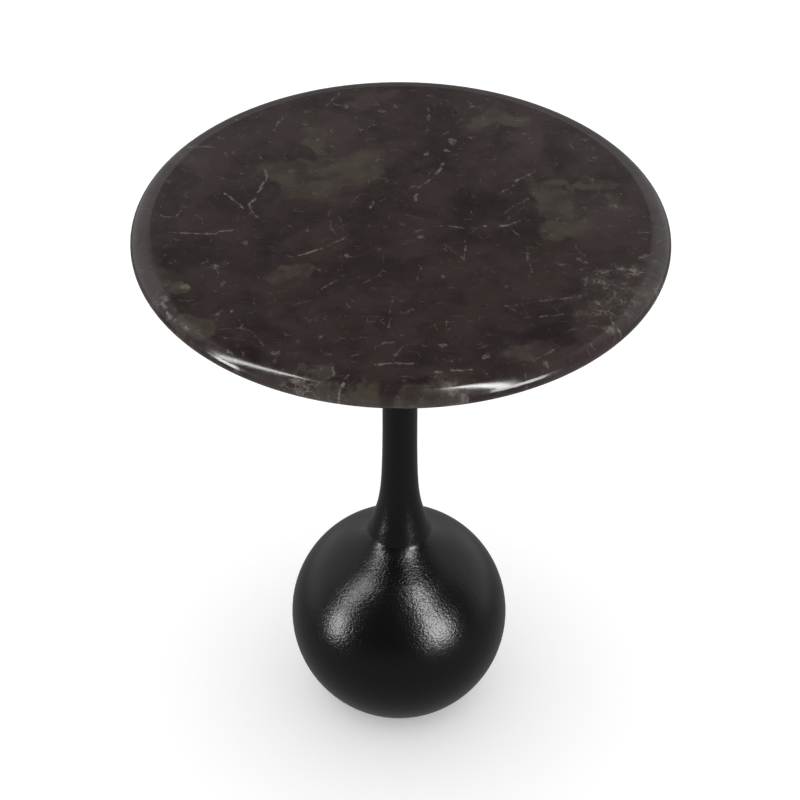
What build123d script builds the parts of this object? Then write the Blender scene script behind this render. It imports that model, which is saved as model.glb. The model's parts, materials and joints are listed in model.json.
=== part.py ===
from build123d import *

import os
from math import asin, cos, degrees, radians, sin, sqrt

# Round pedestal side table: a polished stone disc on a cast stem that flares into a ball.
# Millimetres, +Z up, origin on the floor at the table's axis.

# Stone top
top_radius = 230.0
top_thickness = 25.0
edge_depth = 17.5
edge_roundness = 0.5523
table_height = 550.0
underside_z = table_height - top_thickness

# Screws that hold the plate to the stone, M6
plate_screw_count = 4
plate_screw_circle = 70.0
insert_radius = 4.5
insert_length = 14.0
insert_bore = 3.0
m6_shank = 2.9
m6_clearance = 3.3
m6_head_radius = 5.25
m6_head_height = 3.3
m6_head_fillet = 2.3
m6_socket_across_flats = 4.0
m6_socket_depth = 2.0
m6_flat_washer = (6.0, 1.6)
m6_spring_washer = (5.4, 1.6)
m6_spring_slit = 0.8
spring_slit_angle = 20.0
plate_screw_end_gap = 3.0

# Rubber discs between plate and stone
cushion_radius = 14.0
cushion_thickness = 2.0

# Steel plate and the hub welded under it
plate_radius = 95.0
plate_thickness = 6.0
plate_edge_fillet = 1.0
plate_top_z = underside_z - cushion_thickness
plate_under_z = plate_top_z - plate_thickness
spigot_radius = 12.0
spigot_height = 5.0
hub_radius = 24.0
hub_height = 27.0
hub_flange_radius = 32.0
hub_flange_height = 5.0
hub_edge_fillet = 2.5
hub_bottom_z = plate_under_z - hub_height
socket_radius = 16.05
socket_depth = 18.0
stem_top_z = hub_bottom_z + socket_depth
grub_screw_z = hub_bottom_z + 9.0
grub_screw_inset = 0.5
grub_socket_across_flats = 3.0
grub_socket_depth = 2.5
m6_thread_core = 3.0

# Ball: round above its equator, a slightly flatter arc below it, cut flat for the foot
ball_radius = 103.0
lower_centre_offset = 4.0
ball_centre_z = 90.0
ball_wall = 8.0
foot_z = 4.0
foot_edge_fillet = 1.2

# Stem tube, and the flare that runs from its foot onto the ball
stem_radius = 15.9
stem_wall = 4.0
flare_start_z = 332.0
flare_start_handle = 103.3
flare_end = (28.8, 197.5)
flare_end_slope = 14.0
flare_end_handle = 38.7
blend_start_handle = 6.0
blend_end_angle = 33.0
blend_end_handle = 14.0
neck_bore = 9.0
neck_spigot_radius = stem_radius - stem_wall - 0.1
neck_spigot_height = 20.0
cavity_start_z = 306.0
cavity_start_handle = 85.0
cavity_end_angle = 15.5
cavity_end_handle = 34.0

# Foot opening, from the floor up: cover step, clamp recess, flange opening, ball cavity
cover_step_radius = 50.5
cover_thickness = 2.5
recess_radius = 38.0
recess_top_z = 27.0
flange_opening = 28.0
cavity_floor_z = 37.0
ballast_bottom_z = 30.0
seal_bottom_z = cavity_start_z + 2.0

# Tie rod that pulls hub, casting and clamp plate together, M10
rod_radius = 4.95
rod_bore = 5.0
rod_bottom_z = 7.6
rod_top_z = plate_under_z + spigot_height - 1.0
rod_end_chamfer = 1.0
m10_clearance = 5.5
sleeve_radius = 7.0
sleeve_bore = 5.7
seal_length = 12.0
sleeve_top_z = seal_bottom_z + seal_length + 8.0
clamp_radius = 37.5
clamp_thickness = 6.0
clamp_chamfer = 0.8
m10_flat_washer = (10.5, 2.0)
m10_spring_washer = (9.0, 2.2)
m10_spring_slit = 1.2
m10_across_flats = 16.0
m10_nut_height = 8.0
m10_nut_chamfer = 0.6

# Foot cover and its M4 countersunk screws
cover_radius = 50.0
cover_screw_count = 3
cover_screw_circle = 44.0
m4_shank = 1.95
m4_thread_core = 2.0
m4_clearance = 2.2
m4_head_radius = 4.0
m4_length = 11.0
m4_recess_width = 0.9
m4_recess_length = 4.4
m4_recess_depth = 1.3
m4_point = 0.5
countersink_gap = 0.2

# Rubber ring that meets the floor
ring_inner_radius = 51.5
ring_outer_radius = 58.0
ring_fillet = 1.0

os.makedirs("parts", exist_ok=True)


def finish_piece(builder, name):
    """Label a finished piece and write its STEP file."""
    builder.part.label = name
    export_step(builder.part, f"parts/{name}.step")


def sphere_point(radius, angle):
    """Point on the ball, as (distance from the axis, height), at an angle from its pole."""
    return (radius * sin(radians(angle)), ball_centre_z + radius * cos(radians(angle)))


def sloped_curve(start, start_slope, start_handle, end, end_slope, end_handle):
    """Curve heading down and outward; slopes are in degrees off straight down."""
    leave = radians(start_slope)
    arrive = radians(end_slope)
    after_start = (start[0] + start_handle * sin(leave), start[1] - start_handle * cos(leave))
    before_end = (end[0] - end_handle * sin(arrive), end[1] + end_handle * cos(arrive))
    return Bezier(start, after_start, before_end, end)


def cavity_outline(lowest_opening_z, highest_z):
    """Half section of the ball's hollow, from the foot flange up to the neck's bore."""
    inner_radius = ball_radius - ball_wall
    floor_radius = sqrt(inner_radius**2 - (cavity_floor_z - ball_centre_z) ** 2)
    cavity_end = sphere_point(inner_radius, cavity_end_angle)
    Line((0, lowest_opening_z), (flange_opening, lowest_opening_z))
    Line((flange_opening, lowest_opening_z), (flange_opening, cavity_floor_z))
    Line((flange_opening, cavity_floor_z), (floor_radius, cavity_floor_z))
    ThreePointArc(
        (floor_radius, cavity_floor_z), (inner_radius, ball_centre_z), cavity_end
    )
    sloped_curve(
        (neck_bore, cavity_start_z),
        0,
        cavity_start_handle,
        cavity_end,
        flare_end_slope,
        cavity_end_handle,
    )
    Line((neck_bore, cavity_start_z), (neck_bore, highest_z))
    Line((neck_bore, highest_z), (0, highest_z))
    Line((0, highest_z), (0, lowest_opening_z))


# Stone top: flat disc, four blind holes for the inserts, and an edge rounded as a half ellipse
with BuildPart() as marble_top:
    with BuildSketch(Plane.XZ):
        with BuildLine():
            flat_radius = top_radius - edge_depth
            middle_z = underside_z + top_thickness / 2
            handle_out = edge_depth * edge_roundness
            handle_up = top_thickness / 2 * edge_roundness
            Line((0, underside_z), (flat_radius, underside_z))
            Bezier(
                (flat_radius, underside_z),
                (flat_radius + handle_out, underside_z),
                (top_radius, middle_z - handle_up),
                (top_radius, middle_z),
            )
            Bezier(
                (top_radius, middle_z),
                (top_radius, middle_z + handle_up),
                (flat_radius + handle_out, table_height),
                (flat_radius, table_height),
            )
            Line((flat_radius, table_height), (0, table_height))
            Line((0, table_height), (0, underside_z))
        make_face()
    revolve(axis=Axis.Z)
    with BuildSketch(Plane.XY.offset(underside_z)):
        with PolarLocations(plate_screw_circle, plate_screw_count):
            Circle(insert_radius)
    extrude(amount=insert_length, mode=Mode.SUBTRACT)
finish_piece(marble_top, "marble_top")

# Brass inserts glued into the stone
with BuildPart() as top_inserts:
    with BuildSketch(Plane.XY.offset(underside_z)):
        with PolarLocations(plate_screw_circle, plate_screw_count):
            Circle(insert_radius)
            Circle(insert_bore, mode=Mode.SUBTRACT)
    extrude(amount=insert_length)
finish_piece(top_inserts, "top_inserts")

# Rubber discs round the screws keep the steel off the stone
with BuildPart() as cushion_discs:
    with BuildSketch(Plane.XY.offset(plate_top_z)):
        with PolarLocations(plate_screw_circle, plate_screw_count):
            Circle(cushion_radius)
            Circle(m6_clearance, mode=Mode.SUBTRACT)
    extrude(amount=cushion_thickness)
finish_piece(cushion_discs, "cushion_discs")

# Steel plate under the stone
with BuildPart() as mounting_plate:
    with BuildSketch(Plane.XY.offset(plate_under_z)):
        Circle(plate_radius)
        Circle(spigot_radius, mode=Mode.SUBTRACT)
        with PolarLocations(plate_screw_circle, plate_screw_count):
            Circle(m6_clearance, mode=Mode.SUBTRACT)
    extrude(amount=plate_thickness)
    rim_edges = mounting_plate.edges().filter_by(GeomType.CIRCLE).sort_by(SortBy.RADIUS)
    fillet(rim_edges[-2:], radius=plate_edge_fillet)
finish_piece(mounting_plate, "mounting_plate")

# Hub: flange and boss under the plate, with a socket for the stem and a thread for the rod
with BuildPart() as stem_hub:
    with BuildSketch(Plane.XZ):
        with BuildLine():
            Polyline(
                (rod_bore, stem_top_z),
                (socket_radius, stem_top_z),
                (socket_radius, hub_bottom_z),
                (hub_radius, hub_bottom_z),
                (hub_radius, plate_under_z - hub_flange_height),
                (hub_flange_radius, plate_under_z - hub_flange_height),
                (hub_flange_radius, plate_under_z),
                (spigot_radius, plate_under_z),
                (spigot_radius, plate_under_z + spigot_height),
                (rod_bore, plate_under_z + spigot_height),
                close=True,
            )
        make_face()
    revolve(axis=Axis.Z)
    corner_edges = (
        stem_hub.edges()
        .filter_by(GeomType.CIRCLE)
        .filter_by(lambda edge: abs(edge.radius - hub_radius) < 0.01)
    )
    fillet(corner_edges, radius=hub_edge_fillet)
    with BuildSketch(Plane.XZ):
        with Locations((0, grub_screw_z)):
            Circle(m6_thread_core)
    extrude(amount=-hub_radius - 1, mode=Mode.SUBTRACT)
finish_piece(stem_hub, "stem_hub")

# Grub screw through the hub's back wall stops the hub turning on the stem
with BuildPart() as hub_grub_screw:
    with BuildSketch(Plane.XZ.offset(grub_screw_inset - hub_radius)):
        with Locations((0, grub_screw_z)):
            Circle(m6_shank)
    extrude(amount=hub_radius - grub_screw_inset - stem_radius)
    with BuildSketch(Plane.XZ.offset(grub_screw_inset - hub_radius)):
        with Locations((0, grub_screw_z)):
            RegularPolygon(grub_socket_across_flats / 2, 6, major_radius=False)
    extrude(amount=grub_socket_depth, mode=Mode.SUBTRACT)
finish_piece(hub_grub_screw, "hub_grub_screw")

# Flat and spring washers under the plate screws' heads
spring_washer_top_z = plate_under_z - m6_flat_washer[1]
plate_head_top_z = spring_washer_top_z - m6_spring_washer[1]

with BuildPart() as plate_flat_washers:
    with BuildSketch(Plane.XY.offset(plate_under_z)):
        with PolarLocations(plate_screw_circle, plate_screw_count):
            Circle(m6_flat_washer[0])
            Circle(m6_clearance, mode=Mode.SUBTRACT)
    extrude(amount=-m6_flat_washer[1])
finish_piece(plate_flat_washers, "plate_flat_washers")

with BuildPart() as plate_spring_washers:
    with BuildSketch(Plane.XY.offset(spring_washer_top_z)):
        with PolarLocations(plate_screw_circle, plate_screw_count):
            Circle(m6_spring_washer[0])
            Circle(m6_clearance, mode=Mode.SUBTRACT)
            with Locations((m6_spring_washer[0], 0)):
                Rectangle(
                    m6_spring_washer[0] * 2,
                    m6_spring_slit,
                    rotation=spring_slit_angle,
                    mode=Mode.SUBTRACT,
                )
    extrude(amount=-m6_spring_washer[1])
finish_piece(plate_spring_washers, "plate_spring_washers")

# Button-head screws up through washers, plate and rubber discs into the inserts
with BuildPart() as plate_screws:
    with BuildSketch(Plane.XY.offset(plate_head_top_z)):
        with PolarLocations(plate_screw_circle, plate_screw_count):
            Circle(m6_head_radius)
    extrude(amount=-m6_head_height)
    head_edges = plate_screws.edges().group_by(Axis.Z)[0]
    fillet(head_edges, radius=m6_head_fillet)
    with BuildSketch(Plane.XY.offset(plate_head_top_z - m6_head_height)):
        with PolarLocations(plate_screw_circle, plate_screw_count):
            RegularPolygon(m6_socket_across_flats / 2, 6, major_radius=False)
    extrude(amount=m6_socket_depth, mode=Mode.SUBTRACT)
    with BuildSketch(Plane.XY.offset(plate_head_top_z)):
        with PolarLocations(plate_screw_circle, plate_screw_count):
            Circle(m6_shank)
    extrude(amount=underside_z + insert_length - plate_screw_end_gap - plate_head_top_z)
finish_piece(plate_screws, "plate_screws")

# Stem: steel tube, slipped over the casting's spigot and welded there, the seam ground flush
with BuildPart() as stem_tube:
    with BuildSketch(Plane.XY.offset(flare_start_z)):
        Circle(stem_radius)
        Circle(stem_radius - stem_wall, mode=Mode.SUBTRACT)
    extrude(amount=stem_top_z - flare_start_z)
finish_piece(stem_tube, "stem_tube")

# Pedestal: one hollow casting, from the spigot and the flare at the top to the ball's foot
spigot_top_z = flare_start_z + neck_spigot_height
with BuildPart() as pedestal_casting:
    with BuildSketch(Plane.XZ):
        with BuildLine():
            lower_radius = ball_radius + lower_centre_offset
            foot_angle = degrees(asin((foot_z - ball_centre_z) / lower_radius))
            lower_half = CenterArc(
                (-lower_centre_offset, ball_centre_z), lower_radius, foot_angle, -foot_angle
            )
            blend_end = sphere_point(ball_radius, blend_end_angle)
            ThreePointArc(lower_half @ 1, sphere_point(ball_radius, 60), blend_end)
            sloped_curve(
                flare_end,
                flare_end_slope,
                blend_start_handle,
                blend_end,
                90 - blend_end_angle,
                blend_end_handle,
            )
            sloped_curve(
                (stem_radius, flare_start_z),
                0,
                flare_start_handle,
                flare_end,
                flare_end_slope,
                flare_end_handle,
            )
            Polyline(
                (stem_radius, flare_start_z),
                (neck_spigot_radius, flare_start_z),
                (neck_spigot_radius, spigot_top_z),
                (0, spigot_top_z),
                (0, foot_z),
                lower_half @ 0,
            )
        make_face()
    revolve(axis=Axis.Z)
    foot_edge = pedestal_casting.edges().group_by(Axis.Z)[0].sort_by(SortBy.LENGTH)[-1]
    fillet(foot_edge, radius=foot_edge_fillet)
    with BuildSketch(Plane.XZ):
        with BuildLine():
            cavity_outline(foot_z - 1, spigot_top_z + 1)
        make_face()
    revolve(axis=Axis.Z, mode=Mode.SUBTRACT)
    with BuildSketch(Plane.XY.offset(foot_z)):
        Circle(recess_radius)
    extrude(amount=recess_top_z - foot_z, mode=Mode.SUBTRACT)
    with BuildSketch(Plane.XY.offset(foot_z)):
        Circle(cover_step_radius)
    extrude(amount=cover_thickness, mode=Mode.SUBTRACT)
    with BuildSketch(Plane.XY.offset(foot_z + cover_thickness)):
        with PolarLocations(cover_screw_circle, cover_screw_count, start_angle=90):
            Circle(m4_thread_core)
    extrude(amount=m4_length, mode=Mode.SUBTRACT)
finish_piece(pedestal_casting, "pedestal_casting")

# Ballast: cement mix poured into the ball round the sleeve, with the casting upside down
with BuildPart() as ballast:
    with BuildSketch(Plane.XZ):
        with BuildLine():
            cavity_outline(ballast_bottom_z, seal_bottom_z)
        make_face()
    revolve(axis=Axis.Z)
    with BuildSketch(Plane.XY.offset(ballast_bottom_z)):
        Circle(sleeve_radius)
    extrude(amount=seal_bottom_z - ballast_bottom_z, mode=Mode.SUBTRACT)
finish_piece(ballast, "ballast")

# Rubber seal that stops the wet mix running up the stem
with BuildPart() as sleeve_seal:
    with BuildSketch(Plane.XY.offset(seal_bottom_z)):
        Circle(neck_bore)
        Circle(sleeve_radius, mode=Mode.SUBTRACT)
    extrude(amount=seal_length)
finish_piece(sleeve_seal, "sleeve_seal")

# Steel sleeve keeps the rod free of the ballast
with BuildPart() as rod_sleeve:
    with BuildSketch(Plane.XY.offset(recess_top_z)):
        Circle(sleeve_radius)
        Circle(sleeve_bore, mode=Mode.SUBTRACT)
    extrude(amount=sleeve_top_z - recess_top_z)
finish_piece(rod_sleeve, "rod_sleeve")

# Tie rod from the nut in the foot to the thread in the hub
with BuildPart() as tie_rod:
    with BuildSketch(Plane.XY.offset(rod_bottom_z)):
        Circle(rod_radius)
    extrude(amount=rod_top_z - rod_bottom_z)
    chamfer(tie_rod.edges().filter_by(GeomType.CIRCLE), length=rod_end_chamfer)
finish_piece(tie_rod, "tie_rod")

# Clamp plate that carries the rod's pull into the foot flange
clamp_bottom_z = recess_top_z - clamp_thickness
with BuildPart() as clamp_plate:
    with BuildSketch(Plane.XY.offset(clamp_bottom_z)):
        Circle(clamp_radius)
        Circle(m10_clearance, mode=Mode.SUBTRACT)
    extrude(amount=clamp_thickness)
    outer_edges = clamp_plate.edges().filter_by(GeomType.CIRCLE).sort_by(SortBy.RADIUS)[-2:]
    chamfer(outer_edges, length=clamp_chamfer)
finish_piece(clamp_plate, "clamp_plate")

# Flat washer, spring washer and nut under the clamp plate
spring_top_z = clamp_bottom_z - m10_flat_washer[1]
nut_top_z = spring_top_z - m10_spring_washer[1]

with BuildPart() as rod_flat_washer:
    with BuildSketch(Plane.XY.offset(clamp_bottom_z)):
        Circle(m10_flat_washer[0])
        Circle(m10_clearance, mode=Mode.SUBTRACT)
    extrude(amount=-m10_flat_washer[1])
finish_piece(rod_flat_washer, "rod_flat_washer")

with BuildPart() as rod_spring_washer:
    with BuildSketch(Plane.XY.offset(spring_top_z)):
        Circle(m10_spring_washer[0])
        Circle(m10_clearance, mode=Mode.SUBTRACT)
        with Locations((m10_spring_washer[0], 0)):
            Rectangle(
                m10_spring_washer[0] * 1.6,
                m10_spring_slit,
                rotation=spring_slit_angle,
                mode=Mode.SUBTRACT,
            )
    extrude(amount=-m10_spring_washer[1])
finish_piece(rod_spring_washer, "rod_spring_washer")

with BuildPart() as tie_rod_nut:
    with BuildSketch(Plane.XY.offset(nut_top_z)):
        RegularPolygon(m10_across_flats / 2, 6, major_radius=False)
        Circle(rod_bore, mode=Mode.SUBTRACT)
    extrude(amount=-m10_nut_height)
    chamfer(
        tie_rod_nut.edges().filter_by(GeomType.LINE).filter_by(Axis.Z, reverse=True),
        length=m10_nut_chamfer,
    )
finish_piece(tie_rod_nut, "tie_rod_nut")

# Sheet cover over the foot opening, with countersunk holes from below
with BuildPart() as foot_cover:
    with BuildSketch(Plane.XY.offset(foot_z)):
        Circle(cover_radius)
    extrude(amount=cover_thickness)
    with Locations(Plane.XY.offset(foot_z).rotated((180, 0, 0))):
        with PolarLocations(cover_screw_circle, cover_screw_count, start_angle=-90):
            CounterSinkHole(m4_clearance, m4_head_radius + countersink_gap, cover_thickness)
finish_piece(foot_cover, "foot_cover")

# Countersunk screws with a cross recess, heads flush with the cover
with BuildPart() as cover_screw:
    with BuildSketch(Plane.XZ):
        with BuildLine():
            Polyline(
                (0, foot_z),
                (m4_head_radius, foot_z),
                (m4_shank, foot_z + m4_head_radius - m4_shank),
                (m4_shank, foot_z + m4_length - m4_point),
                (m4_shank - m4_point, foot_z + m4_length),
                (0, foot_z + m4_length),
                close=True,
            )
        make_face()
    revolve(axis=Axis.Z)
    with BuildSketch(Plane.XY.offset(foot_z)):
        Rectangle(m4_recess_length, m4_recess_width)
        Rectangle(m4_recess_width, m4_recess_length)
    extrude(amount=m4_recess_depth, mode=Mode.SUBTRACT)

with BuildPart() as cover_screws:
    with PolarLocations(cover_screw_circle, cover_screw_count, start_angle=90):
        add(cover_screw.part)
finish_piece(cover_screws, "cover_screws")

# Rubber ring glued to the casting's rim, the face that meets the floor
with BuildPart() as foot_ring:
    with BuildSketch(Plane.XY):
        Circle(ring_outer_radius)
        Circle(ring_inner_radius, mode=Mode.SUBTRACT)
    extrude(amount=foot_z)
    fillet(foot_ring.edges().filter_by(GeomType.CIRCLE).group_by(Axis.Z)[0], radius=ring_fillet)
finish_piece(foot_ring, "foot_ring")
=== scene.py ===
import bpy
import json
from math import cos, radians, sin
from mathutils import Matrix, Vector


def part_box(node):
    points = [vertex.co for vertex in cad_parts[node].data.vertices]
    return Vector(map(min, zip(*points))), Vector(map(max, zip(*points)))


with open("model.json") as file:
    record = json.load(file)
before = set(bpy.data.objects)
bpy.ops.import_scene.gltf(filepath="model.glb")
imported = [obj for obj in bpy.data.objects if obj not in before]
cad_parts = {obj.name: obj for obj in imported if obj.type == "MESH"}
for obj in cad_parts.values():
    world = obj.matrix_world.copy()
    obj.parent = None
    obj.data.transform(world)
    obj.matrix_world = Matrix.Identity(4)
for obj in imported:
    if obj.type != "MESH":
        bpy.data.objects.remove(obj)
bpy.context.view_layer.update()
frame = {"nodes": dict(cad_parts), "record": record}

# A round pedestal table: dark polished marble on a black cast stem and ball.
# Everything is in metres, in the frame of the CAD model.

TOP_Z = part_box("marble_top")[1].z
MM = 0.001

# Colours of the marble
DARK_PLUM = (0.020, 0.012, 0.013)
PLUM = (0.036, 0.024, 0.023)
BROWN = (0.031, 0.024, 0.018)
OLIVE = (0.058, 0.048, 0.037)
PINK = (0.046, 0.033, 0.032)
NIGHT = (0.012, 0.008, 0.008)
CRUSHED = (0.060, 0.050, 0.044)
VEIN = (0.19, 0.165, 0.148)

# Strength of the world that polished surfaces mirror
WALL_LIGHT = 0.52
CEILING_LIGHT = 0.08
FLOOR_LIGHT = 0.2

# Softboxes: name, azimuth and elevation in degrees, width and height in metres, power in watts.
# Azimuth 0 is in front of the table and 90 to its right.
SOFTBOX_DISTANCE = 2.0
SOFTBOX_AIM_Z = 0.25
SOFTBOXES = [
    ("softbox_left_low", -66, 1, 0.34, 0.75, 14),
    ("softbox_left_high", -68, 42, 0.2, 2.0, 20),
    ("softbox_right_low", 43, 8, 0.7, 0.7, 22),
    ("softbox_right_high", 38, 43, 0.2, 2.0, 33),
]

# Camera: its place from the centre of the top, angles in degrees, lens and sensor in mm
CAMERA_OFFSET = (0, -1.7371, 1.2314)
CAMERA_DOWN = 39.44
CAMERA_ROLL = 0.28
LENS = 112.5
SENSOR_WIDTH = 36

# Floor, just under the foot so that the two faces don't touch
FLOOR_HALF_WIDTH = 6.0
FLOOR_DROP = 0.2 * MM
FLOOR_GLOW = 0.22


# ---------------------------------------------------------------- shader helpers

class Shader:
    """One node material: adds nodes, links them, and keeps the tree's usual pieces short to write."""

    def __init__(self, name):
        self.material = bpy.data.materials.new(name)
        self.material.use_nodes = True
        self.tree = self.material.node_tree
        self.tree.nodes.clear()
        self.output = self.node("ShaderNodeOutputMaterial")
        self.surface = self.node("ShaderNodeBsdfPrincipled")
        self.link(self.surface.outputs["BSDF"], self.output.inputs["Surface"])
        self.place = self.node("ShaderNodeTexCoord").outputs["Object"]

    def node(self, kind, **settings):
        made = self.tree.nodes.new(kind)
        for key, value in settings.items():
            setattr(made, key, value)
        return made

    def link(self, source, target):
        self.tree.links.new(source, target)

    def feed(self, socket, value):
        """Links a socket to another node's output, or sets it to a plain value."""
        if isinstance(value, bpy.types.NodeSocket):
            self.link(value, socket)
        elif isinstance(value, (tuple, list)) and len(value) == 3 and len(socket.default_value) == 4:
            socket.default_value = (*value, 1.0)
        else:
            socket.default_value = value

    def math(self, operation, first, second=0.0):
        made = self.node("ShaderNodeMath", operation=operation)
        self.feed(made.inputs[0], first)
        self.feed(made.inputs[1], second)
        return made.outputs[0]

    def clamped(self, value):
        """The value held between 0 and 1, by a node of its own, which keeps long trees small."""
        made = self.node("ShaderNodeClamp")
        self.feed(made.inputs["Value"], value)
        return made.outputs["Result"]

    def vector(self, operation, first, second=(0.0, 0.0, 0.0)):
        made = self.node("ShaderNodeVectorMath", operation=operation)
        self.feed(made.inputs[0], first)
        self.feed(made.inputs[1], second)
        scalar = operation in ("DOT_PRODUCT", "DISTANCE", "LENGTH")
        return made.outputs["Value" if scalar else "Vector"]

    def scaled(self, vector, factor):
        made = self.node("ShaderNodeVectorMath", operation="SCALE")
        self.feed(made.inputs[0], vector)
        self.feed(made.inputs["Scale"], factor)
        return made.outputs["Vector"]

    def noise(self, vector, size, detail=3.0, roughness=0.5, colour=False):
        """Noise whose features are about size metres across."""
        made = self.node("ShaderNodeTexNoise")
        self.feed(made.inputs["Vector"], vector)
        made.inputs["Scale"].default_value = 1.0 / size
        made.inputs["Detail"].default_value = detail
        made.inputs["Roughness"].default_value = roughness
        return made.outputs["Color" if colour else "Fac"]

    def cells(self, vector, size, feature="F1"):
        """Voronoi distance, for cells about size metres across."""
        made = self.node("ShaderNodeTexVoronoi", feature=feature)
        self.feed(made.inputs["Vector"], vector)
        made.inputs["Scale"].default_value = 1.0 / size
        return made.outputs["Distance"]

    def ease(self, value, start, end, low=0.0, high=1.0):
        """Smooth step of value from start to end, giving low to high."""
        made = self.node("ShaderNodeMapRange", interpolation_type="SMOOTHSTEP", clamp=False)
        self.feed(made.inputs["Value"], value)
        made.inputs["From Min"].default_value = start
        made.inputs["From Max"].default_value = end
        made.inputs["To Min"].default_value = low
        made.inputs["To Max"].default_value = high
        return made.outputs["Result"]

    def blend(self, factor, first, second):
        """Colour mix: first where factor is 0, second where it is 1."""
        made = self.node("ShaderNodeMix", data_type="RGBA")
        self.feed(made.inputs["Factor"], factor)
        self.feed(made.inputs[6], first)
        self.feed(made.inputs[7], second)
        return made.outputs[2]

    def warped(self, vector, size, amount, detail=2.0):
        """The same vector, pushed about by noise, so that straight lines wander."""
        push = self.vector("SUBTRACT", self.noise(vector, size, detail, colour=True), (0.5, 0.5, 0.5))
        return self.vector("ADD", vector, self.scaled(push, amount))

    def bump(self, height, distance, strength):
        made = self.node("ShaderNodeBump")
        made.inputs["Strength"].default_value = strength
        made.inputs["Distance"].default_value = distance
        self.feed(made.inputs["Height"], height)
        return made.outputs["Normal"]

    def set(self, **sockets):
        """Feeds the surface's sockets; a name's underscores stand for spaces."""
        for name, value in sockets.items():
            self.feed(self.surface.inputs[name.replace("_", " ")], value)


# ---------------------------------------------------------------- materials

def nearest_line(shader, spot, paths):
    """Distance in metres from spot to the nearest of some lines, given by their points in mm."""
    nearest = None
    for path in paths:
        for start, end in zip(path, path[1:]):
            first = Vector((start[0], start[1], 0)) * MM
            along = Vector((end[0], end[1], 0)) * MM - first
            offset = shader.vector("SUBTRACT", spot, first[:])
            reach = shader.vector("DOT_PRODUCT", offset, along[:])
            share = shader.clamped(shader.math("MULTIPLY", reach, 1 / along.length_squared))
            gap = shader.vector("DISTANCE", offset, shader.scaled(along[:], share))
            nearest = gap if nearest is None else shader.math("MINIMUM", nearest, gap)
    return nearest


def nearest_patch(shader, spot, patches):
    """Distance to the nearest of some ellipses in mm, 0 at its centre and 1 on its edge."""
    nearest = None
    for across, along, half_width, half_length in patches:
        offset = shader.vector("SUBTRACT", spot, (across * MM, along * MM, 0.0))
        share = (1 / (half_width * MM), 1 / (half_length * MM), 0.0)
        gap = shader.vector("LENGTH", shader.vector("MULTIPLY", offset, share))
        nearest = gap if nearest is None else shader.math("MINIMUM", nearest, gap)
    return nearest


# Seen from above, with the front of the table towards -Y. Points and sizes in mm.
CLEAR_VEINS = [
    [(-120, 78), (-117, 65), (-120, 55), (-124, 35), (-130, 24), (-127, 13), (-122, 3)],
    [(-152, 38), (-145, 30), (-134, 16)],
    [(-196, -20), (-157, -20), (-152, -16), (-143, -15)],
    [(-107, 158), (-111, 143)],
    [(38, 90), (34, 75), (26, 63), (12, 45), (12, 25)],
    [(36, -8), (59, -12), (73, -7)],
    [(88, 44), (99, 58), (112, 70)],
    [(89, 11), (98, 24), (109, 34)],
    [(85, -7), (92, -7), (101, 0)],
    [(-84, -50), (-62, -37), (-45, -24)],
    [(-24, 28), (-27, 9)],
    [(-195, -112), (-184, -132), (-168, -150)],
    [(-146, -178), (-140, -176), (-134, -180), (-126, -195)],
    [(-141, -162), (-126, -165)],
    [(-99, -203), (-85, -211), (-62, -215), (-52, -208), (-53, -199)],
    [(-40, -209), (-47, -222), (-50, -232)],
    [(-20, -196), (12, -195)],
    [(27, -206), (57, -202)],
    [(160, -76), (181, -68), (208, -75)],
    [(160, -112), (165, -125), (171, -140), (179, -146)],
]
FAINT_VEINS = [
    [(-188, 113), (-165, 111)],
    [(-210, -2), (-207, 9), (-201, 3), (-192, 4), (-184, 18)],
    [(-56, 208), (-57, 196), (-69, 177)],
    [(24, 175), (25, 155)],
    [(9, 52), (12, 45)],
    [(-22, 99), (-20, 96), (-23, 88)],
    [(-60, 0), (-59, -12), (-55, -18)],
    [(111, 53), (118, 37)],
    [(97, 28), (100, 20)],
    [(93, -9), (101, -24)],
    [(107, 135), (113, 133), (115, 126)],
    [(149, 120), (153, 110)],
    [(196, -10), (200, -16), (210, -15)],
    [(-151, -135), (-146, -126)],
    [(-129, -141), (-126, -146), (-128, -152), (-122, -154), (-101, -182)],
    [(15, -64), (16, -82)],
    [(43, -42), (54, -56), (55, -27)],
    [(-65, -97), (-52, -86)],
    [(-47, -115), (-40, -126)],
    [(-6, -111), (-8, -148)],
    [(37, -147), (37, -140), (47, -140)],
    [(49, -150), (57, -146)],
    [(-53, -168), (-46, -163), (-34, -164)],
    [(-20, -175), (-14, -169), (-6, -167)],
    [(5, -170), (17, -170)],
    [(2, -171), (-5, -188)],
    [(106, -38), (108, -72)],
    [(81, -121), (111, -113), (138, -108)],
    [(100, -136), (136, -128)],
    [(135, -153), (142, -149)],
    [(149, -145), (159, -145)],
    [(154, -77), (152, -91)],
    [(180, -120), (186, -116), (189, -106)],
    [(127, -172), (107, -188)],
    [(97, -194), (99, -208)],
]
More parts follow.
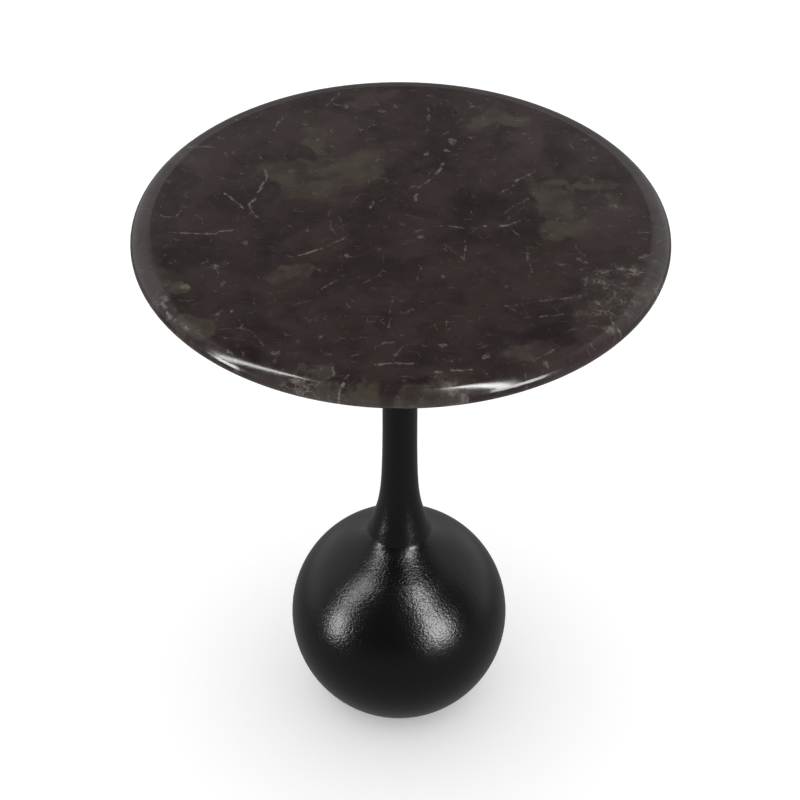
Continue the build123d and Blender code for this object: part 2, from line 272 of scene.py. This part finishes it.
PALE_SPOTS = [
    (-51, 178, 4, 4),
    (46, 122, 4, 7),
    (40, 107, 3, 3),
    (61, 128, 3, 2),
    (22, 102, 3, 3),
    (-18, 170, 4, 3),
    (63, 177, 3, 4),
    (16, -24, 3, 3),
    (-131, -33, 4, 3),
    (-155, -68, 5, 4),
    (-147, -90, 2, 5),
    (-138, 70, 3, 3),
    (-154, 98, 3, 3),
    (182, 23, 4, 3),
    (133, 3, 3, 3),
    (-45, -52, 2, 4),
    (35, -80, 3, 3),
    (33, -171, 4, 3),
    (148, -54, 3, 3),
    (154, -60, 3, 3),
    (150, -69, 4, 2),
    (203, -52, 5, 6),
    (-99, -184, 4, 4),
    (-137, -130, 2, 2),
    (116, -191, 3, 3),
    (145, -183, 3, 3),
    (69, -185, 4, 5),
    (-192, -110, 6, 5),
    (-177, -96, 5, 4),
    (169, -146, 6, 5),
    (38, -221, 9, 6),
    (52, -224, 6, 4),
]
CRUSHED_PATCHES = [
    (184, -78, 26, 16),
    (196, -98, 24, 30),
    (168, -112, 24, 24),
    (42, -222, 15, 12),
    (-194, -104, 6, 14),
    (-70, -218, 26, 8),
]
OLIVE_PATCHES = [
    (-84, 62, 32, 30),
    (-50, 76, 30, 28),
    (-76, 132, 16, 28),
    (134, 36, 20, 22),
    (142, -2, 26, 18),
    (168, 48, 14, 7),
    (-90, -80, 14, 12),
    (191, -96, 10, 10),
    (-66, -206, 12, 8),
    (-164, -156, 10, 8),
    (88, 160, 16, 14),
    (182, 24, 10, 10),
    (96, -182, 16, 10),
    (-178, -92, 10, 8),
    (-44, -224, 30, 10),
    (10, -229, 16, 6),
    (-170, -150, 14, 12),
]
PINK_PATCHES = [
    (-52, 140, 14, 32),
    (-48, 58, 20, 22),
    (40, -224, 15, 13),
    (170, -165, 28, 16),
    (-188, 90, 12, 20),
    (110, 120, 16, 26),
    (172, 4, 24, 26),
    (-100, -206, 20, 10),
    (-30, 190, 20, 12),
    (128, -186, 44, 14),
    (-206, -86, 12, 50),
]
DARK_PATCHES = [
    (142, 46, 4, 5),
    (-109, -188, 9, 8),
    (-181, -130, 5, 12),
    (66, 10, 24, 30),
    (-178, -46, 26, 18),
    (20, -216, 26, 4),
    (140, 88, 18, 14),
    (-110, -24, 16, 16),
    (120, -158, 26, 10),
]


def make_marble():
    """Dark plum-brown marble with olive patches and thin broken pale veins, polished."""
    shader = Shader("polished_marble")
    place = shader.place
    flat = shader.vector("MULTIPLY", place, (1.0, 1.0, 0.0))
    wander = shader.warped(shader.warped(flat, 22 * MM, 8 * MM), 3.5 * MM, 3.2 * MM)
    torn = shader.warped(shader.warped(flat, 46 * MM, 80 * MM, 3.0), 10 * MM, 14 * MM, 4.0)

    # Ground: two plum-browns in soft clouds, darker and lighter by turns
    drift = shader.warped(place, 80 * MM, 60 * MM, 3.0)
    cloud = shader.noise(drift, 45 * MM, 5.0, 0.6)
    tone = shader.noise(shader.warped(place, 30 * MM, 24 * MM), 24 * MM, 5.0, 0.65)
    ground = shader.blend(shader.ease(cloud, 0.36, 0.64), DARK_PLUM, PLUM)
    ground = shader.blend(shader.ease(tone, 0.42, 0.75, 0.0, 0.75), ground, BROWN)

    # Patches
    olive = shader.ease(nearest_patch(shader, torn, OLIVE_PATCHES), 1.25, 0.85, 0.0, 0.9)
    pink = shader.ease(nearest_patch(shader, torn, PINK_PATCHES), 1.6, 0.5, 0.0, 0.8)
    dark = shader.ease(nearest_patch(shader, torn, DARK_PATCHES), 1.4, 0.6, 0.0, 0.6)
    ground = shader.blend(pink, ground, PINK)
    cloudy_olive = shader.math("MULTIPLY", olive, shader.ease(tone, 0.34, 0.62, 0.3, 1.0))
    ground = shader.blend(cloudy_olive, ground, OLIVE)
    ground = shader.blend(dark, ground, NIGHT)

    # Hairlines everywhere, broken up, and crowded in the crushed zone near the right edge
    crush = shader.ease(nearest_patch(shader, torn, CRUSHED_PATCHES), 1.6, 0.5)
    uneven = shader.ease(shader.noise(place, 18 * MM, 3.0, 0.6), 0.4, 0.6, 0.25, 1.0)
    crush = shader.math("MULTIPLY", crush, uneven)
    web = shader.cells(shader.warped(place, 9 * MM, 8 * MM, 3.0), 13 * MM, "DISTANCE_TO_EDGE")
    gaps = shader.noise(place, 11 * MM, 3.0, 0.6)
    web_line = shader.math(
        "MULTIPLY", shader.ease(web, 0.05, 0.0), shader.ease(gaps, 0.52, 0.74, 0.0, 0.65)
    )
    fine = shader.cells(shader.warped(place, 8 * MM, 14 * MM, 4.0), 8 * MM, "DISTANCE_TO_EDGE")
    fine_line = shader.math("MULTIPLY", shader.ease(fine, 0.13, 0.0), shader.ease(gaps, 0.42, 0.62))
    rubble = shader.ease(shader.noise(torn, 4 * MM, 4.0, 0.7), 0.52, 0.7, 0.0, 0.55)
    fine_line = shader.math("MULTIPLY", shader.math("MAXIMUM", fine_line, rubble), crush)

    # Streaks that run from side to side, mostly towards the front
    stretched = shader.vector("MULTIPLY", shader.warped(place, 60 * MM, 6 * MM), (0.06, 1.0, 1.0))
    streak = shader.ease(shader.noise(stretched, 2.2 * MM, 3.0, 0.6), 0.6, 0.78)
    parts = shader.node("ShaderNodeSeparateXYZ")
    shader.feed(parts.inputs[0], place)
    front = shader.ease(parts.outputs["Y"], -60 * MM, -190 * MM, 0.08, 0.5)
    share = shader.math("MULTIPLY", front, shader.ease(gaps, 0.4, 0.62))
    streak = shader.math("MULTIPLY", streak, share)

    # Placed veins and spots
    broken = shader.ease(shader.noise(place, 5 * MM, 3.0, 0.6), 0.36, 0.6, 0.15, 1.0)
    swell = shader.ease(shader.noise(place, 9 * MM, 2.0), 0.4, 0.65, 0.55, 1.7)
    clear_gap = shader.math("DIVIDE", nearest_line(shader, wander, CLEAR_VEINS), swell)
    faint_gap = shader.math("DIVIDE", nearest_line(shader, wander, FAINT_VEINS), swell)
    clear = shader.ease(clear_gap, 1.5 * MM, 0.1 * MM)
    faint = shader.ease(faint_gap, 1.2 * MM, 0.1 * MM, 0.0, 0.6)
    ragged = shader.warped(wander, 5 * MM, 9 * MM, 3.0)
    spots = shader.ease(nearest_patch(shader, ragged, PALE_SPOTS), 1.1, 0.3, 0.0, 0.8)
    drawn = shader.math("MULTIPLY", shader.math("MAXIMUM", clear, faint), broken)
    spots = shader.math("MULTIPLY", spots, broken)
    pale = shader.math("MAXIMUM", shader.math("MAXIMUM", drawn, spots), web_line)
    pale = shader.math("MAXIMUM", shader.math("MAXIMUM", pale, fine_line), streak)
    crushed = shader.blend(shader.math("MULTIPLY", crush, 0.55), ground, CRUSHED)
    colour = shader.blend(shader.math("MULTIPLY", pale, 0.8), crushed, VEIN)

    # Fine crystal grain, light and dark
    grain = shader.noise(place, 1.6 * MM, 3.0, 0.7)
    colour = shader.blend(shader.ease(grain, 0.62, 0.85, 0.0, 0.35), colour, VEIN)
    colour = shader.blend(shader.ease(grain, 0.4, 0.2, 0.0, 0.5), colour, NIGHT)
    polish = shader.noise(place, 14 * MM, 4.0, 0.6)
    relief = shader.noise(place, 6 * MM, 2.0)
    shader.set(
        Base_Color=colour,
        Roughness=shader.ease(polish, 0.3, 0.7, 0.12, 0.18),
        IOR=1.5,
        Normal=shader.bump(relief, 0.012 * MM, 0.4),
    )
    return shader.material


def make_textured_coat():
    """Black powder coat with a fine grain, over a sand casting."""
    shader = Shader("textured_black_coat")
    place = shader.place
    grain = shader.noise(place, 2.2 * MM, 2.0, 0.6)
    shader.set(
        Base_Color=(0.0015, 0.0015, 0.0015),
        Roughness=0.22,
        Specular_IOR_Level=0.5,
        Normal=shader.bump(grain, 0.6 * MM, 0.55),
    )
    return shader.material


def make_satin_coat():
    shader = Shader("satin_black_coat")
    grain = shader.noise(shader.place, 0.9 * MM, 2.0, 0.6)
    shader.set(
        Base_Color=(0.010, 0.010, 0.010),
        Roughness=shader.ease(grain, 0.3, 0.7, 0.36, 0.5),
        Normal=shader.bump(grain, 0.08 * MM, 0.4),
    )
    return shader.material


def make_metal(name, light, dark, roughness, grain_size):
    """Bare or plated metal with cloudy colour and a fine turned grain."""
    shader = Shader(name)
    cloud = shader.noise(shader.place, 6 * MM, 4.0, 0.6)
    grain = shader.noise(shader.place, grain_size, 3.0, 0.7)
    shader.set(
        Base_Color=shader.blend(cloud, dark, light),
        Metallic=1.0,
        Roughness=shader.ease(grain, 0.3, 0.7, roughness, roughness + 0.14),
        Normal=shader.bump(grain, 0.03 * MM, 0.4),
    )
    return shader.material


def make_rubber():
    shader = Shader("black_rubber")
    grain = shader.noise(shader.place, 0.7 * MM, 3.0, 0.6)
    dust = shader.noise(shader.place, 8 * MM, 4.0, 0.6)
    shader.set(
        Base_Color=shader.blend(
            shader.ease(dust, 0.45, 0.75), (0.012, 0.012, 0.012), (0.03, 0.029, 0.027)
        ),
        Roughness=shader.ease(grain, 0.3, 0.7, 0.6, 0.8),
        Normal=shader.bump(grain, 0.1 * MM, 0.5),
    )
    return shader.material


def make_cement():
    shader = Shader("cement_ballast")
    cloud = shader.noise(shader.place, 20 * MM, 5.0, 0.6)
    grit = shader.cells(shader.place, 3 * MM)
    shader.set(
        Base_Color=shader.blend(cloud, (0.2, 0.19, 0.17), (0.36, 0.35, 0.32)),
        Roughness=0.9,
        Normal=shader.bump(grit, 0.6 * MM, 0.7),
    )
    return shader.material


def paint_nodes():
    """Gives every CAD node the material of its slot."""
    zinc = make_metal("zinc_plated_steel", (0.62, 0.63, 0.64), (0.45, 0.46, 0.47), 0.26, 0.5 * MM)
    made = {
        "polished_stone": make_marble(),
        "black_coated_casting": make_textured_coat(),
        "black_coated_steel": make_satin_coat(),
        "zinc_plated_steel": zinc,
        "plain_steel": make_metal("plain_steel", (0.4, 0.39, 0.38), (0.22, 0.21, 0.2), 0.4, 0.8 * MM),
        "brass_insert": make_metal("brass_insert", (0.75, 0.56, 0.25), (0.5, 0.36, 0.15), 0.3, 0.4 * MM),
        "black_rubber": make_rubber(),
        "cement_ballast": make_cement(),
    }
    for entry in frame["record"]["subparts"]:
        for slot in frame["nodes"][entry["node"]].material_slots:
            slot.material = made[entry["material_slot"]]


# ---------------------------------------------------------------- camera, light and floor

def make_camera():
    """Camera in front of the table, looking down on it, level to within a third of a degree."""
    data = bpy.data.cameras.new("camera")
    data.lens = LENS
    data.sensor_width = SENSOR_WIDTH
    camera = bpy.data.objects.new("camera", data)
    tilt = radians(90 - CAMERA_DOWN)
    turn = Matrix.Rotation(tilt, 4, "X") @ Matrix.Rotation(radians(CAMERA_ROLL), 4, "Z")
    camera.matrix_world = Matrix.Translation(Vector(CAMERA_OFFSET) + Vector((0, 0, TOP_Z))) @ turn
    bpy.context.collection.objects.link(camera)
    bpy.context.scene.camera = camera


def make_softbox(name, azimuth, elevation, width, height, power):
    """Rectangular area light, seen in polished surfaces only."""
    data = bpy.data.lights.new(name, "AREA")
    data.shape = "RECTANGLE"
    data.size = width
    data.size_y = height
    data.energy = power
    light = bpy.data.objects.new(name, data)
    around, up = radians(azimuth), radians(elevation)
    out = Vector((sin(around) * cos(up), -cos(around) * cos(up), sin(up)))
    spot = Vector((0, 0, SOFTBOX_AIM_Z)) + out * SOFTBOX_DISTANCE
    light.matrix_world = Matrix.Translation(spot) @ out.to_track_quat("Z", "Y").to_matrix().to_4x4()
    light.visible_camera = False
    light.visible_diffuse = False
    bpy.context.collection.objects.link(light)


def make_world():
    """Even pale light for matt surfaces, and a dimmer studio for what the glossy ones mirror."""
    world = bpy.data.worlds.new("studio")
    world.use_nodes = True
    tree = world.node_tree
    tree.nodes.clear()

    def add(kind, **settings):
        made = tree.nodes.new(kind)
        for key, value in settings.items():
            setattr(made, key, value)
        return made

    def eased(value, start, end, low, high):
        made = add("ShaderNodeMapRange", interpolation_type="SMOOTHSTEP", clamp=False)
        tree.links.new(value, made.inputs["Value"])
        numbers = {"From Min": start, "From Max": end, "To Min": low, "To Max": high}
        for socket, number in numbers.items():
            made.inputs[socket].default_value = number
        return made.outputs["Result"]

    def combined(operation, first, second):
        made = add("ShaderNodeMath", operation=operation)
        tree.links.new(first, made.inputs[0])
        tree.links.new(second, made.inputs[1])
        return made.outputs[0]

    # Pale walls on both sides and behind, higher up at the sides, a grey floor and a dark ceiling
    parts = add("ShaderNodeSeparateXYZ")
    tree.links.new(add("ShaderNodeTexCoord").outputs["Generated"], parts.inputs[0])
    sideways = add("ShaderNodeMath", operation="ABSOLUTE")
    tree.links.new(parts.outputs["X"], sideways.inputs[0])
    lean = add("ShaderNodeMath", operation="MULTIPLY_ADD")
    tree.links.new(sideways.outputs[0], lean.inputs[0])
    lean.inputs[1].default_value = -0.5
    tree.links.new(parts.outputs["Z"], lean.inputs[2])
    low_wall = combined(
        "MULTIPLY",
        eased(lean.outputs[0], 0.56, 0.42, 0.0, 1.0),
        eased(parts.outputs["Z"], -0.3, -0.05, 0.0, 1.0),
    )
    behind = eased(parts.outputs["Y"], -0.2, 0.32, 0.0, 1.0)
    sides = combined("MULTIPLY", behind, eased(parts.outputs["Y"], 0.99, 0.85, 0.35, 1.0))
    walls = combined("MULTIPLY", low_wall, sides)
    wall_light = add("ShaderNodeMath", operation="MULTIPLY_ADD")
    tree.links.new(walls, wall_light.inputs[0])
    wall_light.inputs[1].default_value = WALL_LIGHT
    beyond = eased(parts.outputs["Z"], 0.0, -0.2, CEILING_LIGHT, FLOOR_LIGHT)
    tree.links.new(beyond, wall_light.inputs[2])

    output = add("ShaderNodeOutputWorld")
    even = add("ShaderNodeBackground")
    even.inputs["Color"].default_value = (1, 1, 1, 1)
    even.inputs["Strength"].default_value = 1.0
    mirrored = add("ShaderNodeBackground")
    mirrored.inputs["Color"].default_value = (1, 1, 1, 1)
    tree.links.new(wall_light.outputs[0], mirrored.inputs["Strength"])
    choose = add("ShaderNodeMixShader")
    tree.links.new(add("ShaderNodeLightPath").outputs["Is Glossy Ray"], choose.inputs["Fac"])
    tree.links.new(even.outputs[0], choose.inputs[1])
    tree.links.new(mirrored.outputs[0], choose.inputs[2])
    tree.links.new(choose.outputs[0], output.inputs["Surface"])
    world.cycles.sampling_method = "NONE"
    bpy.context.scene.world = world


def make_floor():
    """Pale floor, seen from above only, so that a view from below shows the foot."""
    half = FLOOR_HALF_WIDTH
    mesh = bpy.data.meshes.new("floor")
    corners = [(-half, -half, 0), (half, -half, 0), (half, half, 0), (-half, half, 0)]
    mesh.from_pydata(corners, [], [(0, 1, 2, 3)])
    floor = bpy.data.objects.new("floor", mesh)
    floor.location.z = -FLOOR_DROP
    bpy.context.collection.objects.link(floor)
    shader = Shader("pale_floor")
    speckle = shader.noise(shader.place, 4 * MM, 2.0)
    shader.set(
        Base_Color=shader.blend(speckle, (0.93, 0.93, 0.93), (0.96, 0.96, 0.96)),
        Roughness=0.9,
        Specular_IOR_Level=0.0,
        Emission_Color=(1.0, 1.0, 1.0),
        Emission_Strength=FLOOR_GLOW,
    )
    side = shader.node("ShaderNodeNewGeometry").outputs["Backfacing"]
    clear = shader.node("ShaderNodeBsdfTransparent")
    pick = shader.node("ShaderNodeMixShader")
    shader.link(side, pick.inputs["Fac"])
    shader.link(shader.surface.outputs["BSDF"], pick.inputs[1])
    shader.link(clear.outputs["BSDF"], pick.inputs[2])
    shader.link(pick.outputs["Shader"], shader.output.inputs["Surface"])
    mesh.materials.append(shader.material)
    floor.visible_glossy = False


make_camera()
make_world()
make_floor()
for softbox in SOFTBOXES:
    make_softbox(*softbox)
bpy.context.scene.view_settings.view_transform = "Standard"
paint_nodes()
